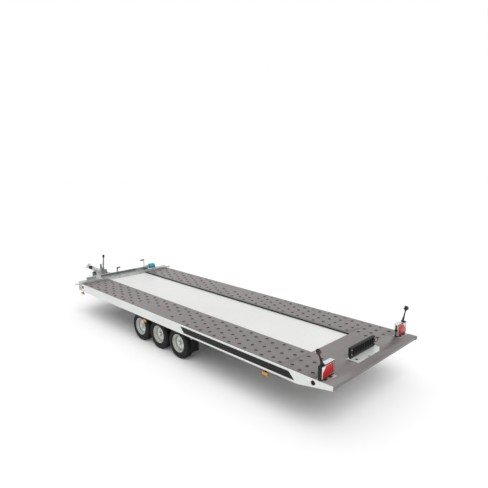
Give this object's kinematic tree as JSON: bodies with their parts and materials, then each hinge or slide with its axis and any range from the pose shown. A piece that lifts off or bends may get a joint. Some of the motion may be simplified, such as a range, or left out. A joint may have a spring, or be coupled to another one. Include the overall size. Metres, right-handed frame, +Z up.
{
  "type": "car transporter trailer with a tilting flat bed",
  "caption": "Low flat-bed car transporter trailer with wheels beneath the bed, tilting deck with wheel tracks, folding rear lights, overrun coupling and jockey wheel.",
  "frame": {"origin": "on the ground, in the middle of the overall length and width", "axes": "+X forwards to the coupling, +Y to the left side, +Z up"},
  "size_m": [8.46, 2.476, 1.1201],
  "materials": {
    "galvanised": "hot-dip galvanised, matt",
    "rail_silver": "satin silver-grey coating",
    "track_coating": "matt brown-grey anti-slip coating",
    "panel_white": "satin off-white",
    "strip_black": "satin black",
    "tyre_rubber": "matt black rubber",
    "jockey_rubber": "matt black rubber",
    "rim_silver": "silver lacquer",
    "black_rubber": "matt black rubber",
    "black_plastic": "textured black",
    "amber_lens": "amber lens",
    "red_lens": "red lens",
    "white_lens": "clear and white lens",
    "coupling_grey": "light grey zinc coating",
    "lever_grey": "zinc-plated steel",
    "winch_steel": "zinc-plated steel",
    "strap_teal": "woven teal webbing",
    "pump_black": "black paint",
    "chrome_rod": "hard chrome"
  },
  "bodies": {
    "chassis": {"chassis_rails": "galvanised", "chassis_crossmembers": "galvanised", "drawbar_frame": "galvanised", "overrun_housing": "coupling_grey", "overrun_shaft": "galvanised", "overrun_bellows": "black_rubber", "coupling_head": "coupling_grey", "coupling_handle": "lever_grey", "axle_beams": "galvanised", "swing_arms": "galvanised", "brake_backplates": "galvanised", "mud_flaps": "black_rubber", "brake_rod": "galvanised", "hydraulic_pump": "pump_black", "jockey_tube": "galvanised", "jockey_crank": "galvanised"},
    "bed": {"side_rail_left": "rail_silver", "side_rail_right": "rail_silver", "side_strips": "strip_black", "cross_bearers": "galvanised", "bed_beams": "galvanised", "track_left": "track_coating", "track_right": "track_coating", "centre_panel": "panel_white", "rear_deck": "track_coating", "front_beam": "galvanised", "winch_rail": "galvanised", "winch_frame": "galvanised", "marker_brackets": "black_plastic", "marker_lamps": "amber_lens", "front_lamps": "white_lens", "light_hinges": "black_plastic", "plate_base": "galvanised", "cylinder_yoke": "galvanised"},
    "wheel_front_left": {"tyre_front_left": "tyre_rubber", "rim_front_left": "rim_silver"},
    "wheel_front_right": {"tyre_front_right": "tyre_rubber", "rim_front_right": "rim_silver"},
    "wheel_middle_left": {"tyre_middle_left": "tyre_rubber", "rim_middle_left": "rim_silver"},
    "wheel_middle_right": {"tyre_middle_right": "tyre_rubber", "rim_middle_right": "rim_silver"},
    "wheel_rear_left": {"tyre_rear_left": "tyre_rubber", "rim_rear_left": "rim_silver"},
    "wheel_rear_right": {"tyre_rear_right": "tyre_rubber", "rim_rear_right": "rim_silver"},
    "handbrake": {"handbrake_lever": "lever_grey"},
    "jockey_leg": {"jockey_leg": "galvanised"},
    "jockey_fork": {"jockey_fork": "galvanised"},
    "jockey_wheel": {"jockey_wheel": "jockey_rubber"},
    "tilt_barrel": {"tilt_barrel": "pump_black"},
    "tilt_rod": {"tilt_rod": "chrome_rod"},
    "winch_drum": {"winch_drum": "winch_steel", "winch_strap": "strap_teal"},
    "winch_lever": {"winch_lever": "lever_grey"},
    "light_left": {"light_housing_left": "black_plastic", "light_lens_left": "red_lens"},
    "light_right": {"light_housing_right": "black_plastic", "light_lens_right": "red_lens"},
    "plate_holder": {"plate_holder": "black_plastic"}
  },
  "joints": [
    {"name": "wheel_front_left_spin", "type": "hinge", "parent": "chassis", "child": "wheel_front_left", "pos_m": [0.103, 0.918, 0.265], "axis": [0, 1, 0], "continuous": true},
    {"name": "wheel_front_right_spin", "type": "hinge", "parent": "chassis", "child": "wheel_front_right", "pos_m": [0.103, -0.918, 0.265], "axis": [0, 1, 0], "continuous": true},
    {"name": "wheel_middle_left_spin", "type": "hinge", "parent": "chassis", "child": "wheel_middle_left", "pos_m": [-0.473, 0.918, 0.265], "axis": [0, 1, 0], "continuous": true},
    {"name": "wheel_middle_right_spin", "type": "hinge", "parent": "chassis", "child": "wheel_middle_right", "pos_m": [-0.473, -0.918, 0.265], "axis": [0, 1, 0], "continuous": true},
    {"name": "wheel_rear_left_spin", "type": "hinge", "parent": "chassis", "child": "wheel_rear_left", "pos_m": [-1.049, 0.918, 0.265], "axis": [0, 1, 0], "continuous": true},
    {"name": "wheel_rear_right_spin", "type": "hinge", "parent": "chassis", "child": "wheel_rear_right", "pos_m": [-1.049, -0.918, 0.265], "axis": [0, 1, 0], "continuous": true},
    {"name": "bed_tilt", "type": "hinge", "parent": "chassis", "child": "bed", "pos_m": [-1.523, 0, 0.5], "axis": [0, -1, 0], "range_deg": [0, 13.4]},
    {"name": "tilt_barrel_swing", "type": "hinge", "parent": "chassis", "child": "tilt_barrel", "pos_m": [-0.673, 0, 0.29], "axis": [0, -1, 0], "range_deg": [0, 5.89]},
    {"name": "tilt_rod_slide", "type": "slide", "parent": "tilt_barrel", "child": "tilt_rod", "axis": [0, 0, 1], "range_m": [0, 0.197]},
    {"name": "jockey_slide", "type": "slide", "parent": "chassis", "child": "jockey_leg", "axis": [0, 0, 1], "range_m": [0, 0.165]},
    {"name": "jockey_swivel", "type": "hinge", "parent": "jockey_leg", "child": "jockey_fork", "pos_m": [3.255, 0.106, 0.244], "axis": [0, 0, 1], "continuous": true},
    {"name": "jockey_spin", "type": "hinge", "parent": "jockey_fork", "child": "jockey_wheel", "pos_m": [3.215, 0.106, 0.105], "axis": [0, 1, 0], "continuous": true},
    {"name": "handbrake_swing", "type": "hinge", "parent": "chassis", "child": "handbrake", "pos_m": [3.26, 0.03, 0.588], "axis": [0, 1, 0], "range_deg": [0, 70]},
    {"name": "winch_drum_spin", "type": "hinge", "parent": "bed", "child": "winch_drum", "pos_m": [2.231, -0.56, 0.814], "axis": [0, 1, 0], "continuous": true},
    {"name": "winch_lever_swing", "type": "hinge", "parent": "bed", "child": "winch_lever", "pos_m": [2.231, -0.478, 0.814], "axis": [0, 1, 0], "range_deg": [-50, 50]},
    {"name": "light_left_fold", "type": "hinge", "parent": "bed", "child": "light_left", "pos_m": [-3.984, 0.9745, 0.716], "axis": [0, 1, 0], "range_deg": [0, 88]},
    {"name": "light_right_fold", "type": "hinge", "parent": "bed", "child": "light_right", "pos_m": [-3.984, -0.9745, 0.716], "axis": [0, 1, 0], "range_deg": [0, 88]},
    {"name": "plate_holder_fold", "type": "hinge", "parent": "bed", "child": "plate_holder", "pos_m": [-3.93, 0, 0.72], "axis": [0, 1, 0], "range_deg": [0, 88]}
  ],
  "couplings": [
    {"joint": "tilt_barrel_swing", "follows": "bed_tilt", "ratio": 0.43604},
    {"joint": "tilt_rod_slide", "follows": "bed_tilt", "m_per_rad": 0.8381}
  ]
}
